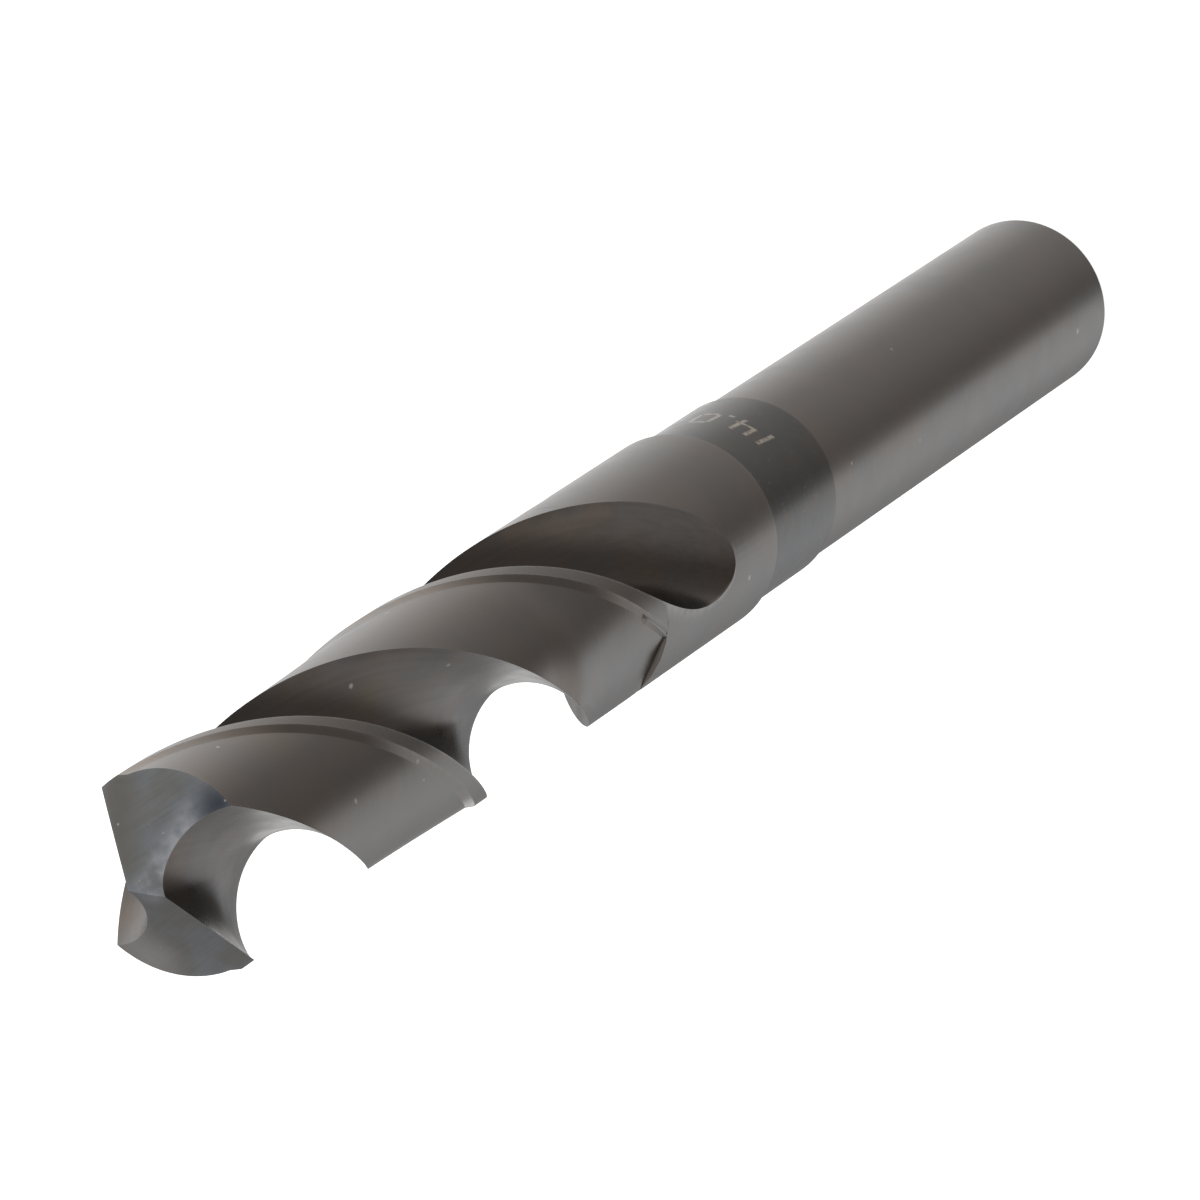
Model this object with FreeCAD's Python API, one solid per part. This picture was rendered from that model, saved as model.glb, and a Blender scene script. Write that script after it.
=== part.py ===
import FreeCAD, Part
import math
import os

# Reduced-shank twist drill, millimetres and degrees.
# It stands on the end of its shank: +Z runs along the axis to the point,
# and the origin is the centre of the shank's end face.
# The first lip runs out along +X and the second along -X.

# Lengths along the axis
overall_length = 152.0
shank_length = 54.4
neck_length = 11.9
flute_length = 77.8
relief_length = 66.4

# Diameters of the three turned stretches
drill_diameter = 14.0
shank_diameter = 12.7
neck_diameter = 13.2
shank_chamfer = 0.8
step_chamfer = 0.15

# Flutes: two of them, right hand
flute_count = 2
helix_angle = 31.5
lip_offset = 0.94
web_at_point = 2.0
land_width = 11.0
flute_floor_radius = 3.3
flute_floor_turn = 30.0

# The cutter climbs slowly out of the flute on its way to the shank, which thickens the core,
# and then runs out of the bar on its own radius while it turns a little further
cutter_climb_per_mm = 0.0145
cutter_lift_direction = 32.0
flute_cutter_radius = 38.0
cutter_turn_per_mm = 5.4

# Land: a narrow full-size margin beside the cutting edge, then body clearance
margin_width = 1.15
margin_step_width = 0.7

# Body clearance behind the margin: how far round it goes, and its depth at the
# margin, half way and at the back, at the point and further down
relief_back_angle = 100.0
relief_depths_at_point = (0.28, 0.58, 0.86)
relief_depths = (0.25, 0.47, 0.60)
relief_depths_settle_length = 24.0

# Where it fades out, the same four sizes at each height above its end
relief_exit_length = 1.2
relief_exit_lift = 0.5
relief_fade = [
    (18.0, 100.0, (0.25, 0.47, 0.60)),
    (14.0, 92.0, (0.25, 0.40, 0.00)),
    (8.0, 90.0, (0.25, 0.34, -0.05)),
    (3.5, 80.0, (0.20, 0.32, -0.20)),
    (0.0, 62.0, (0.10, 0.32, -0.80)),
]

# Point: each flank is a twisted surface that falls away behind its lip,
# gently at the outer corner and steeply at the chisel edge
point_angle = 108.0
corner_clearance_angle = 10.0
chisel_clearance_angle = 30.0

# How closely the flutes and the clearance are followed by sections
section_spacing = 4.0
runout_sections = 9
face_points = 8
tool_overlap = 1.5

drill_radius = drill_diameter / 2
outer_radius = drill_radius + tool_overlap
body_start = shank_length + neck_length
lead = math.pi * drill_diameter / math.tan(math.radians(helix_angle))
land_angle = land_width / drill_radius
margin_angle = margin_width / drill_radius
step_angle = (margin_width + margin_step_width) / drill_radius

# The lip is a straight line at lip_offset from the axis; the flute face is that line wound back along the helix
lip_slope = 1 / math.tan(math.radians(point_angle / 2))
lip_reach = math.sqrt(drill_radius ** 2 - lip_offset ** 2)
corner_angle = math.atan2(lip_offset, lip_reach)
corner_clearance = math.tan(math.radians(corner_clearance_angle))
chisel_clearance = math.tan(math.radians(chisel_clearance_angle))
lip_top = overall_length + chisel_clearance * lip_offset
corner_height = lip_top - lip_reach * lip_slope
wind = 2 * math.pi / lead * lip_slope


def heading(angle):
    return FreeCAD.Vector(math.cos(angle), math.sin(angle), 0)


def polar(radius, angle):
    return heading(angle) * radius


def helix_turn(z):
    """How far the flutes have turned at height z, in degrees, from the lips' outer corners."""
    return 360.0 * (z - corner_height) / lead


def closed_section(curves, z, shift=FreeCAD.Vector(), turn=0.0):
    """A closed wire of one section, shifted, lifted to height z and turned with the helix and by turn."""
    wire = Part.Wire([curve.toShape() for curve in curves])
    wire.translate(shift)
    wire.rotate(FreeCAD.Vector(), FreeCAD.Vector(0, 0, 1), helix_turn(z) + turn)
    wire.translate(FreeCAD.Vector(0, 0, z))
    return wire


def even_heights(top, bottom):
    """Heights from top down towards bottom, without bottom itself."""
    count = max(2, math.ceil((top - bottom) / section_spacing))
    return [top + (bottom - top) * i / count for i in range(count)]


def face_point(along):
    """Point of the flute face that meets the lip at this reach, and the face's heading inwards there."""
    turned_back = -wind * (lip_reach - along)
    point = polar(math.hypot(along, lip_offset), math.atan2(lip_offset, along) + turned_back)
    inward = math.pi + turned_back + math.atan2(wind * along, 1 - wind * lip_offset)
    return point, inward


def floor_centre(along):
    """Centre of the floor's arc when the face ends at this reach."""
    point, inward = face_point(along)
    return point + heading(inward - math.pi / 2) * flute_floor_radius


def face_end():
    """The reach at which the face has to end for the floor to leave the core its thickness."""
    near = 0.0
    far = lip_reach
    while far - near > 1e-6:
        middle = (near + far) / 2
        if floor_centre(middle).Length - flute_floor_radius < web_at_point / 2:
            near = middle
        else:
            far = middle
    return far


def turning_arc(start, direction, radius, turn):
    """An arc that leaves start along direction and bends to the right by turn."""
    centre = start + heading(direction - math.pi / 2) * radius
    from_centre = direction + math.pi / 2
    middle = centre + heading(from_centre - turn / 2) * radius
    end = centre + heading(from_centre - turn) * radius
    return Part.Arc(start, middle, end), end


def flute_outline():
    """Face, rounded floor and heel wall of the first flute, closed outside the body."""
    inner_end = face_end()
    outer_end = lip_reach + tool_overlap
    points = []
    for i in range(face_points):
        along = outer_end + (inner_end - outer_end) * i / (face_points - 1)
        points.append(face_point(along)[0])
    core, inward = face_point(inner_end)
    face = Part.BSplineCurve()
    face.interpolate(Points=points, InitialTangent=points[1] - points[0], FinalTangent=heading(inward))

    floor_turn = math.radians(flute_floor_turn)
    floor, floor_end = turning_arc(core, inward, flute_floor_radius, floor_turn)

    # The heel wall is one more arc, tangent to the floor, that ends on the body at the heel
    heel = polar(drill_radius, corner_angle + math.pi - land_angle)
    chord = heel - floor_end
    direction = inward - floor_turn
    bend = direction - math.atan2(chord.y, chord.x)
    wall, wall_end = turning_arc(floor_end, direction, chord.Length / (2 * math.sin(bend)), 2 * bend)

    beyond = wall_end + heading(direction - 2 * bend) * tool_overlap
    middle_angle = (math.atan2(beyond.y, beyond.x) + math.atan2(points[0].y, points[0].x)) / 2
    edge = Part.LineSegment(wall_end, beyond)
    closing = Part.Arc(beyond, polar(outer_radius + tool_overlap, middle_angle), points[0])
    return [face, floor, wall, edge, closing]


def flute_section(outline, z, lift=0.0):
    """The flute's outline at height z, with the cutter raised by lift on top of its slow climb."""
    climb = cutter_climb_per_mm * (overall_length - z)
    shift = polar(climb + lift, math.radians(cutter_lift_direction))
    return closed_section(outline, z, shift, cutter_turn_per_mm * lift)


def flute_tool():
    """The metal that one flute removes, with the run-out that the round cutter leaves."""
    flute_end = overall_length - flute_length
    slope = math.cos(math.radians(helix_angle))
    full_lift = drill_radius - web_at_point / 2 - cutter_climb_per_mm * flute_length
    leave = math.acos(1 - full_lift / flute_cutter_radius)
    runout_start = flute_end + flute_cutter_radius * math.sin(leave) * slope
    clear = math.acos(1 - (full_lift + tool_overlap / 2) / flute_cutter_radius)

    outline = flute_outline()
    tops = even_heights(overall_length + tool_overlap, runout_start)
    sections = [flute_section(outline, z) for z in tops]
    for i in range(runout_sections):
        swing = clear * i / (runout_sections - 1)
        lift = flute_cutter_radius * (1 - math.cos(swing))
        z = runout_start - flute_cutter_radius * math.sin(swing) * slope
        sections.append(flute_section(outline, z, lift))
    return Part.makeLoft(sections, True, False)


def relief_section(z, back_angle, depths, lift=0.0):
    """Body clearance behind the first margin; a negative depth stands outside the body."""
    front = corner_angle - step_angle
    back = corner_angle - math.radians(back_angle)
    half_way = (front + back) / 2
    front_point = polar(drill_radius - depths[0] + lift, front)
    back_point = polar(drill_radius - depths[2] + lift, back)
    back_top = polar(outer_radius + tool_overlap, back)
    margin_edge = polar(drill_radius, corner_angle - margin_angle)
    step = margin_edge - polar(drill_radius - relief_depths[0], front)
    step_top = front_point + step * (outer_radius - drill_radius) / relief_depths[0]
    ground = Part.Arc(front_point, polar(drill_radius - depths[1] + lift, half_way), back_point)
    back_side = Part.LineSegment(back_point, back_top)
    over = Part.Arc(back_top, polar(outer_radius + 2 * tool_overlap, half_way), step_top)
    step_side = Part.LineSegment(step_top, front_point)
    return closed_section([ground, back_side, over, step_side], z)


def settled_depths(z):
    """Depths of the clearance at height z; it is deepest at the point."""
    share = min(1, (overall_length + tool_overlap - z) / relief_depths_settle_length)
    return [tip + (body - tip) * share for tip, body in zip(relief_depths_at_point, relief_depths)]


def relief_tool():
    """The thin layer of metal ground off one land behind its margin."""
    relief_end = overall_length - relief_length
    fade_start = relief_end + relief_fade[0][0]
    sections = []
    for z in even_heights(overall_length + tool_overlap, fade_start):
        sections.append(relief_section(z, relief_back_angle, settled_depths(z)))
    for height, back_angle, depths in relief_fade:
        sections.append(relief_section(relief_end + height, back_angle, depths))
    sections.append(relief_section(relief_end - relief_exit_length, back_angle, depths, relief_exit_lift))
    return Part.makeLoft(sections, True, False)


def flank_height(x, y):
    """Height of the first lip's flank; the lip itself is the line y = lip_offset."""
    fall = chisel_clearance + (corner_clearance - chisel_clearance) * x / drill_radius
    return lip_top - x * lip_slope - fall * (lip_offset - y)


def flank_tool():
    """The metal above the first lip's flank, a surface ruled between two slanting lines."""
    top = overall_length + 3 * drill_diameter
    ends = []
    for x in (-outer_radius, outer_radius):
        corners = [
            FreeCAD.Vector(x, -outer_radius, flank_height(x, -outer_radius)),
            FreeCAD.Vector(x, outer_radius, flank_height(x, outer_radius)),
            FreeCAD.Vector(x, outer_radius, top),
            FreeCAD.Vector(x, -outer_radius, top),
        ]
        ends.append(Part.makePolygon(corners + corners[:1]))
    return Part.makeLoft(ends, True, True)


def turned_blank():
    """Shank, neck and body as one turned bar, before fluting."""
    shank_radius = shank_diameter / 2
    neck_radius = neck_diameter / 2
    outline = [
        (0, 0),
        (shank_radius - shank_chamfer, 0),
        (shank_radius, shank_chamfer),
        (shank_radius, shank_length),
        (neck_radius - step_chamfer, shank_length),
        (neck_radius, shank_length + step_chamfer),
        (neck_radius, body_start),
        (drill_radius - step_chamfer, body_start),
        (drill_radius, body_start + step_chamfer),
        (drill_radius, overall_length + tool_overlap),
        (0, overall_length + tool_overlap),
        (0, 0),
    ]
    wire = Part.makePolygon([FreeCAD.Vector(radius, 0, z) for radius, z in outline])
    return Part.Face(wire).revolve(FreeCAD.Vector(), FreeCAD.Vector(0, 0, 1), 360)


def each_flute(tool):
    """One copy of a tool for each flute, evenly round the axis."""
    copies = []
    for i in range(flute_count):
        copy = tool.copy()
        copy.rotate(FreeCAD.Vector(), FreeCAD.Vector(0, 0, 1), 360.0 * i / flute_count)
        copies.append(copy)
    return copies


def twist_drill():
    drill = turned_blank()
    for tool in (flank_tool(), relief_tool(), flute_tool()):
        drill = drill.cut(each_flute(tool))
    return drill.removeSplitter()


os.makedirs("parts", exist_ok=True)
shape = twist_drill()
print("solids", len(shape.Solids), "valid", shape.isValid(), "volume", round(shape.Volume, 1))
print("faces", len(shape.Faces), "corner", round(corner_height, 2), "lead", round(lead, 2))
shape.Solids[0].exportStep("parts/twist_drill.step")
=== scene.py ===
import bpy
import bmesh
from functools import lru_cache
from math import acos, atan2, ceil, cos, hypot, pi, radians, sin, sqrt, tan
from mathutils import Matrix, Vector
from mathutils.geometry import delaunay_2d_cdt


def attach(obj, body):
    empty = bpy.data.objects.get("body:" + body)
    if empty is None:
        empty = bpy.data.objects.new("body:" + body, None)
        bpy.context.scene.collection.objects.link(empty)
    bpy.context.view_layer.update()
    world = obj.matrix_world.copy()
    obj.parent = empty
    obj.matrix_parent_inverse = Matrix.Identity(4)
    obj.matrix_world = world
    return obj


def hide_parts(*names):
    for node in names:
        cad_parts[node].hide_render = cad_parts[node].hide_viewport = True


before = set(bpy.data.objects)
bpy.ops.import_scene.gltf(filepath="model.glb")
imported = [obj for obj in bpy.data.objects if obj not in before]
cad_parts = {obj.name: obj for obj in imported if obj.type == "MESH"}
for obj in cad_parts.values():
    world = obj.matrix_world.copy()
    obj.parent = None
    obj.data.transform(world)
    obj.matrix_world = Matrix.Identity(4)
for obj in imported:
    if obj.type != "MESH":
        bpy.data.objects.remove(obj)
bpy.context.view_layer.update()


# the drill's sizes in millimetres and degrees: the solid's, but for a smaller shank chamfer
drillSizes = {
    "length": 152.0,
    "shankLength": 54.4,
    "neckLength": 11.9,
    "fluteLength": 77.8,
    "reliefLength": 66.4,
    "radius": 7.0,
    "shankRadius": 6.35,
    "neckRadius": 6.6,
    "shankChamfer": 0.25,
    "stepChamfer": 0.15,
    "helixAngle": 31.5,
    "lipOffset": 0.94,
    "faceOverrun": 1.0,
    "webAtPoint": 2.0,
    "landWidth": 11.0,
    "floorRadius": 3.3,
    "floorTurn": 30.0,
    "wallOverrun": 0.6,
    "climbPerMm": 0.0145,
    "liftDirection": 32.0,
    "cutterRadius": 38.0,
    "turnPerMm": 5.4,
    "marginWidth": 1.15,
    "stepWidth": 0.7,
    "pointAngle": 108.0,
    "cornerClearance": 10.0,
    "chiselClearance": 30.0,
    # body clearance: angle round, then depth at the margin, half way and at the back
    "reliefAtPoint": (100.0, 0.28, 0.58, 0.86),
    "reliefSettled": (100.0, 0.25, 0.47, 0.60),
    "reliefSettleLength": 24.0,
    "reliefOverrun": 1.5,
    # how it fades out, by height above its end
    "reliefFade": [
        (-1.2, 62.0, -0.40, -0.18, -1.30),
        (0.0, 62.0, 0.10, 0.32, -0.80),
        (3.5, 80.0, 0.20, 0.32, -0.20),
        (8.0, 90.0, 0.25, 0.34, -0.05),
        (14.0, 92.0, 0.25, 0.40, 0.00),
        (18.0, 100.0, 0.25, 0.47, 0.60),
    ],
    # how finely the surface is divided
    "rowSpacing": 0.36,
    "closeRows": 12,
    "closeReach": 1.6,
    "leastGap": 0.008,
    "leastRimGap": 0.004,
    "climbLength": 6.0,
    "fluteColumns": 46,
    "heelColumns": 12,
    "reliefColumns": 20,
    "stepColumns": 2,
    "marginColumns": 6,
    # below the clearance its columns spread out: shares of the way from heel to edge
    "columnShares": (0.3, 0.8, 0.85),
    "flankGrid": 0.4,
    "chiselSteps": 0.12,
    "sharpAngle": 13.0,
    # how much each edge is lightened, partly as real wear and partly as painted highlight, and how far
    # this reaches on turned ends
    "wearAndHighlightReach": 0.3,
    "wearAndHighlight": {
        "end": 0.3, "neckFoot": 0.2, "neckRim": 0.45, "bodyFoot": 0.2, "bodyRim": 0.5,
        "heel": 0.08, "clearance": 0.05, "margin": 0.35, "lip": 0.9, "point": 0.4,
    },
}
mm = 0.001


def heading(angle):
    return Vector((cos(angle), sin(angle)))


def mixed(a, b, share):
    return a + (b - a) * share


def smooth(share):
    share = min(max(share, 0), 1)
    return share * share * (3 - 2 * share)


# test is false at low and true at high
def bisect(test, low, high, halvings=34):
    for _ in range(halvings):
        middle = (low + high) / 2
        if test(middle):
            high = middle
        else:
            low = middle
    return (low + high) / 2


# centre of the circle through three places
def circleCentre(a, b, c):
    doubled = 2 * (a.x * (b.y - c.y) + b.x * (c.y - a.y) + c.x * (a.y - b.y))
    x = (a.length_squared * (b.y - c.y) + b.length_squared * (c.y - a.y)
         + c.length_squared * (a.y - b.y))
    y = (a.length_squared * (c.x - b.x) + b.length_squared * (a.x - c.x)
         + c.length_squared * (b.x - a.x))
    return Vector((x / doubled, y / doubled))


# a smooth curve through four rows of values, between the second and the third
def curved(before, start, stop, after, share):
    width = stop[0] - start[0]
    values = []
    for c in range(1, len(start)):
        m0 = (stop[c] - before[c]) / (stop[0] - before[0])
        m1 = (after[c] - start[c]) / (after[0] - start[0]) if after is not stop else 0
        t = share
        values.append((2 * t ** 3 - 3 * t ** 2 + 1) * start[c] + (t ** 3 - 2 * t ** 2 + t) * width * m0
                      + (3 * t ** 2 - 2 * t ** 3) * stop[c] + (t ** 3 - t ** 2) * width * m1)
    return values


# the drill's section at any height: flutes, lands with their clearance, and the flanks of the point
class DrillShape:
    def __init__(self, s):
        self.s = s
        self.r = s["radius"]
        self.lead = 2 * pi * self.r / tan(radians(s["helixAngle"]))
        self.lipSlope = 1 / tan(radians(s["pointAngle"] / 2))
        self.lipReach = sqrt(self.r ** 2 - s["lipOffset"] ** 2)
        self.cornerAngle = atan2(s["lipOffset"], self.lipReach)
        self.chiselFall = tan(radians(s["chiselClearance"]))
        self.cornerFall = tan(radians(s["cornerClearance"]))
        self.lipTop = s["length"] + self.chiselFall * s["lipOffset"]
        self.cornerHeight = self.lipTop - self.lipReach * self.lipSlope
        self.wind = 2 * pi / self.lead * self.lipSlope
        self.faceInner = bisect(self.coreClear, 0, self.lipReach)
        self.faceOuter = self.lipReach + s["faceOverrun"]
        core, inward = self.facePoint(self.faceInner)
        self.floorCentre = core + heading(inward - pi / 2) * s["floorRadius"]
        self.floorStart = inward + pi / 2
        turn = radians(s["floorTurn"])
        floorEnd = self.floorCentre + heading(self.floorStart - turn) * s["floorRadius"]
        heel = heading(self.cornerAngle + pi - s["landWidth"] / self.r) * self.r
        chord = heel - floorEnd
        bend = inward - turn - atan2(chord.y, chord.x)
        self.wallRadius = chord.length / (2 * sin(bend))
        self.wallTurn = 2 * bend
        self.wallStart = inward - turn + pi / 2
        self.wallCentre = floorEnd - heading(self.wallStart) * self.wallRadius
        # where the round cutter leaves the bar
        self.fluteEnd = s["length"] - s["fluteLength"]
        self.slope = cos(radians(s["helixAngle"]))
        fullLift = self.r - s["webAtPoint"] / 2 - s["climbPerMm"] * s["fluteLength"]
        leave = acos(1 - fullLift / s["cutterRadius"])
        self.runoutStart = self.fluteEnd + s["cutterRadius"] * sin(leave) * self.slope
        self.eyeEnd = bisect(lambda z: self.deepest(z)[1] < self.r, self.fluteEnd - 2, self.runoutStart)
        self.reliefEnd = s["length"] - s["reliefLength"]
        lowest = self.reliefEnd + s["reliefFade"][0][0]
        self.reliefStop = bisect(lambda z: self.reliefSpan(z)[2] > 0, lowest, self.reliefEnd)
        # columns of one land, and of one land with its flute
        self.landColumns = s["heelColumns"] + s["reliefColumns"] + s["stepColumns"] + s["marginColumns"]
        self.half = self.landColumns + s["fluteColumns"]

    def facePoint(self, along):
        offset = self.s["lipOffset"]
        back = -self.wind * (self.lipReach - along)
        point = heading(atan2(offset, along) + back) * hypot(along, offset)
        return point, pi + back + atan2(self.wind * along, 1 - self.wind * offset)

    def coreClear(self, along):
        point, inward = self.facePoint(along)
        centre = point + heading(inward - pi / 2) * self.s["floorRadius"]
        return centre.length - self.s["floorRadius"] > self.s["webAtPoint"] / 2

    # flute section: 0 to 1 face, 1 to 2 floor, 2 to 3 heel wall, then straight on
    def outline(self, u):
        if u <= 1:
            return self.facePoint(self.faceOuter + (self.faceInner - self.faceOuter) * u)[0]
        if u <= 2:
            swept = self.floorStart - radians(self.s["floorTurn"]) * (u - 1)
            return self.floorCentre + heading(swept) * self.s["floorRadius"]
        if u <= 3:
            return self.wallCentre + heading(self.wallStart - self.wallTurn * (u - 2)) * self.wallRadius
        end = self.wallStart - self.wallTurn
        return self.wallCentre + heading(end) * self.wallRadius + heading(end - pi / 2) * (u - 3) * 3

    # shift of the flute section at height z, and its extra turn
    @lru_cache(maxsize=None)
    def cutterPlace(self, z):
        s = self.s
        swing = (self.runoutStart - z) / (s["cutterRadius"] * self.slope)
        swing = min(max(swing, 0), 0.999)  # the cutter has long left the bar there
        lift = s["cutterRadius"] * (1 - sqrt(1 - swing ** 2))
        climb = s["climbPerMm"] * (s["length"] - z)
        return heading(radians(s["liftDirection"])) * (climb + lift), radians(s["turnPerMm"]) * lift

    def radiusAt(self, u, z):
        return (self.outline(u) + self.cutterPlace(z)[0]).length

    @lru_cache(maxsize=None)
    def deepest(self, z):
        low, high = 0.0, 3.0
        for _ in range(40):  # each step keeps the two thirds that hold the deepest place
            a, b = low + (high - low) / 3, high - (high - low) / 3
            if self.radiusAt(a, z) < self.radiusAt(b, z):
                high = b
            else:
                low = a
        return low, self.radiusAt(low, z)

    # in the frame that winds with the helix
    def flutePoint(self, u, z):
        shift, turn = self.cutterPlace(z)
        p = self.outline(u) + shift
        angle = atan2(p.y, p.x)
        if angle < -pi / 2:
            angle += 2 * pi
        return p.length, angle + turn

    # where the flute's section meets the land before it and the land behind it
    @lru_cache(maxsize=None)
    def fluteSpan(self, z):
        middle, depth = self.deepest(z)
        if depth >= self.r or z <= self.eyeEnd:
            return middle, middle
        first = bisect(lambda u: self.radiusAt(u, z) < self.r, 0, middle)

        def outside(u):
            radius, angle = self.flutePoint(u, z)
            return radius > self.landRadius(angle - pi, z)

        return first, bisect(outside, middle, 3 + self.s["wallOverrun"])

    # front and back angles of the clearance, its arc's centre and radius
    @lru_cache(maxsize=None)
    def reliefArc(self, z):
        s = self.s
        height = z - self.reliefEnd
        fade = s["reliefFade"]
        if height >= fade[-1][0]:
            share = (s["length"] + s["reliefOverrun"] - z) / s["reliefSettleLength"]
            share = min(max(share, 0), 1)
            back, *depths = [mixed(a, b, share) for a, b in zip(s["reliefAtPoint"], s["reliefSettled"])]
        else:
            k = max(i for i in range(len(fade) - 1) if height >= fade[i][0] or i == 0)
            share = (height - fade[k][0]) / (fade[k + 1][0] - fade[k][0])
            around = [fade[min(max(i, 0), len(fade) - 1)] for i in range(k - 1, k + 3)]
            back, *depths = curved(*around, share)
        front = self.cornerAngle - (s["marginWidth"] + s["stepWidth"]) / self.r
        behind = self.cornerAngle - radians(back)
        angles = front, (front + behind) / 2, behind
        a, b, c = [heading(angle) * (self.r - depth) for angle, depth in zip(angles, depths)]
        centre = circleCentre(a, b, c)
        return front, behind, centre, (a - centre).length, depths[0]

    def arcRadius(self, angle, z):
        centre, radius = self.reliefArc(z)[2:4]
        along = centre.dot(heading(angle))
        return along + sqrt(max(along ** 2 - centre.length_squared + radius ** 2, 0))

    # angles between which the clearance lies below the full radius, and its greatest depth
    @lru_cache(maxsize=None)
    def reliefSpan(self, z):
        front, behind = self.reliefArc(z)[:2]
        samples = 24
        angles = [mixed(behind, front, i / samples) for i in range(samples + 1)]
        depths = [self.r - self.arcRadius(a, z) for a in angles]
        best = max(range(samples + 1), key=lambda i: depths[i])
        if depths[best] <= 0:
            return angles[best], angles[best], 0
        first, last = behind, front
        if depths[0] < 0:
            first = bisect(lambda a: self.arcRadius(a, z) < self.r, behind, angles[best])
        if depths[-1] < 0:
            last = bisect(lambda a: self.arcRadius(a, z) > self.r, angles[best], front)
        return first, last, depths[best]

    def landRadius(self, angle, z):
        if z <= self.reliefStop:
            return self.r
        first, last, _ = self.reliefSpan(z)
        if first <= angle <= last:
            return min(self.r, self.arcRadius(angle, z))
        return self.r

    # angles of the heel, the clearance's two ends, the margin's edge and the cutting edge
    @lru_cache(maxsize=None)
    def landSpan(self, z):
        s = self.s
        first, last = self.fluteSpan(z)
        edge = self.flutePoint(first, z)[1]
        heel = self.flutePoint(last, z)[1] - pi
        begin, end, depth = self.reliefSpan(max(z, self.reliefStop))
        if z <= self.reliefStop or depth <= 0:
            spread = smooth((self.reliefStop - z) / (self.reliefStop - self.eyeEnd))
            spots = [mixed(heel, edge, share) for share in s["columnShares"]]
            return heel, *[mixed(begin, spot, spread) for spot in spots], edge
        front, _, _, _, frontDepth = self.reliefArc(z)
        margin = end
        if frontDepth > 0:
            margin = front + s["stepWidth"] / self.r * frontDepth / s["reliefSettled"][1]
        return heel, max(begin, heel), end, margin, edge

    # one point of the section from the first heel to the second, as radius and angle
    def halfRing(self, column, z):
        s = self.s
        heel, begin, end, margin, edge = self.landSpan(z)
        for count, a, b in (
            (s["heelColumns"], heel, begin), (s["reliefColumns"], begin, end),
            (s["stepColumns"], end, margin), (s["marginColumns"], margin, edge),
        ):
            if column <= count:
                share = column / count
                angle = a + (b - a) * share
                if a == end and margin > end and z > self.reliefStop:
                    low = self.arcRadius(end, z)
                    p = heading(a) * low * (1 - share) + heading(b) * self.r * share
                    return p.length, atan2(p.y, p.x)
                if a == margin or (b == begin and column and heel < begin):
                    return self.r, angle
                return self.landRadius(angle, z), angle
            column -= count
        first, last = self.fluteSpan(z)
        return self.flutePoint(first + (last - first) * column / s["fluteColumns"], z)

    def place(self, column, z):
        radius, angle = self.halfRing(column, z)
        return heading(angle + 2 * pi * (z - self.cornerHeight) / self.lead) * radius

    def flankHeight(self, p):
        fall = self.chiselFall + (self.cornerFall - self.chiselFall) * p.x / self.r
        return self.lipTop - p.x * self.lipSlope - fall * (self.s["lipOffset"] - p.y)

    def topHeight(self, p):
        return min(self.flankHeight(p), self.flankHeight(-p))

    # where a column meets the flank that cuts it off
    def columnTop(self, column, low):
        return bisect(lambda z: z > self.topHeight(self.place(column, z)), low, self.s["length"] + 3)


# the other half of a ring is the same, turned by half a turn
def wholeRing(points):
    return points + [(-p, z) for p, z in points]


# level rows, closer together where the flute and the clearance end
def levelRings(d, s, join):
    count = ceil((join - d.eyeEnd) / s["rowSpacing"])
    heights = {round(mixed(d.eyeEnd, join, i / count), 4) for i in range(count + 1)}
    for end in (d.eyeEnd, d.reliefStop):
        heights |= {round(end + s["closeReach"] * (i / s["closeRows"]) ** 2, 4)
                    for i in range(s["closeRows"])}
    heights = sorted(heights)
    kept = heights[:1] + [b for a, b in zip(heights, heights[1:]) if b - a > s["leastGap"]]
    return [wholeRing([(d.place(c, z), z) for c in range(d.half)]) for z in kept]


# above the last level row each column climbs to the flank that cuts it off
def climbingRings(d, s, join):
    tops = [d.columnTop(column, join) for column in range(d.half)]
    count = ceil((s["length"] - join) / s["rowSpacing"])
    rings = []
    for i in range(1, count + 1):
        heights = [mixed(join, top, i / count) for top in tops]
        rings.append(wholeRing([(d.place(c, z), z) for c, z in enumerate(heights)]))
    return rings


# the column nearest the chisel edge's end is moved onto it
def snapToChisel(d, top, join):
    side = [d.flankHeight(p) - d.flankHeight(-p) for p, z in top]
    last = max(c for c in range(d.landColumns, d.half - 1) if side[c] < 0)
    share = side[last] / (side[last] - side[last + 1])
    near = last if share < 0.5 else last + 1

    def past(column):
        p = d.place(column, d.columnTop(column, join))
        return d.flankHeight(p) > d.flankHeight(-p)

    column = bisect(past, last, last + 1)
    z = d.columnTop(column, join)
    p = d.place(column, z)
    top[near], top[near + d.half] = (p, z), (-p, z)
    return near


# radius, height and edge lightening (real wear and painted highlight) of the turned rings, from the
# shank's end up to the flutes
def turnedSizes(d, s):
    shank, neck, body = s["shankRadius"], s["neckRadius"], s["radius"]
    neckStart = s["shankLength"]
    bodyStart = neckStart + s["neckLength"]
    end, step, reach, wearAndHighlight = s["shankChamfer"], s["stepChamfer"], s["wearAndHighlightReach"], s["wearAndHighlight"]
    return [
        (shank - end, 0, wearAndHighlight["end"]), (shank, end, wearAndHighlight["end"]),
        (shank, end + reach, 0), (shank, neckStart - reach, 0), (shank, neckStart, 0),
        (neck - step, neckStart, wearAndHighlight["neckFoot"]), (neck, neckStart + step, wearAndHighlight["neckRim"]),
        (neck, neckStart + step + reach, 0), (neck, bodyStart - reach, 0), (neck, bodyStart, 0),
        (body - step, bodyStart, wearAndHighlight["bodyFoot"]), (body, bodyStart + step, wearAndHighlight["bodyRim"]),
        (body, bodyStart + step + reach, 0), (body, d.eyeEnd - reach, 0),
    ]


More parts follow.
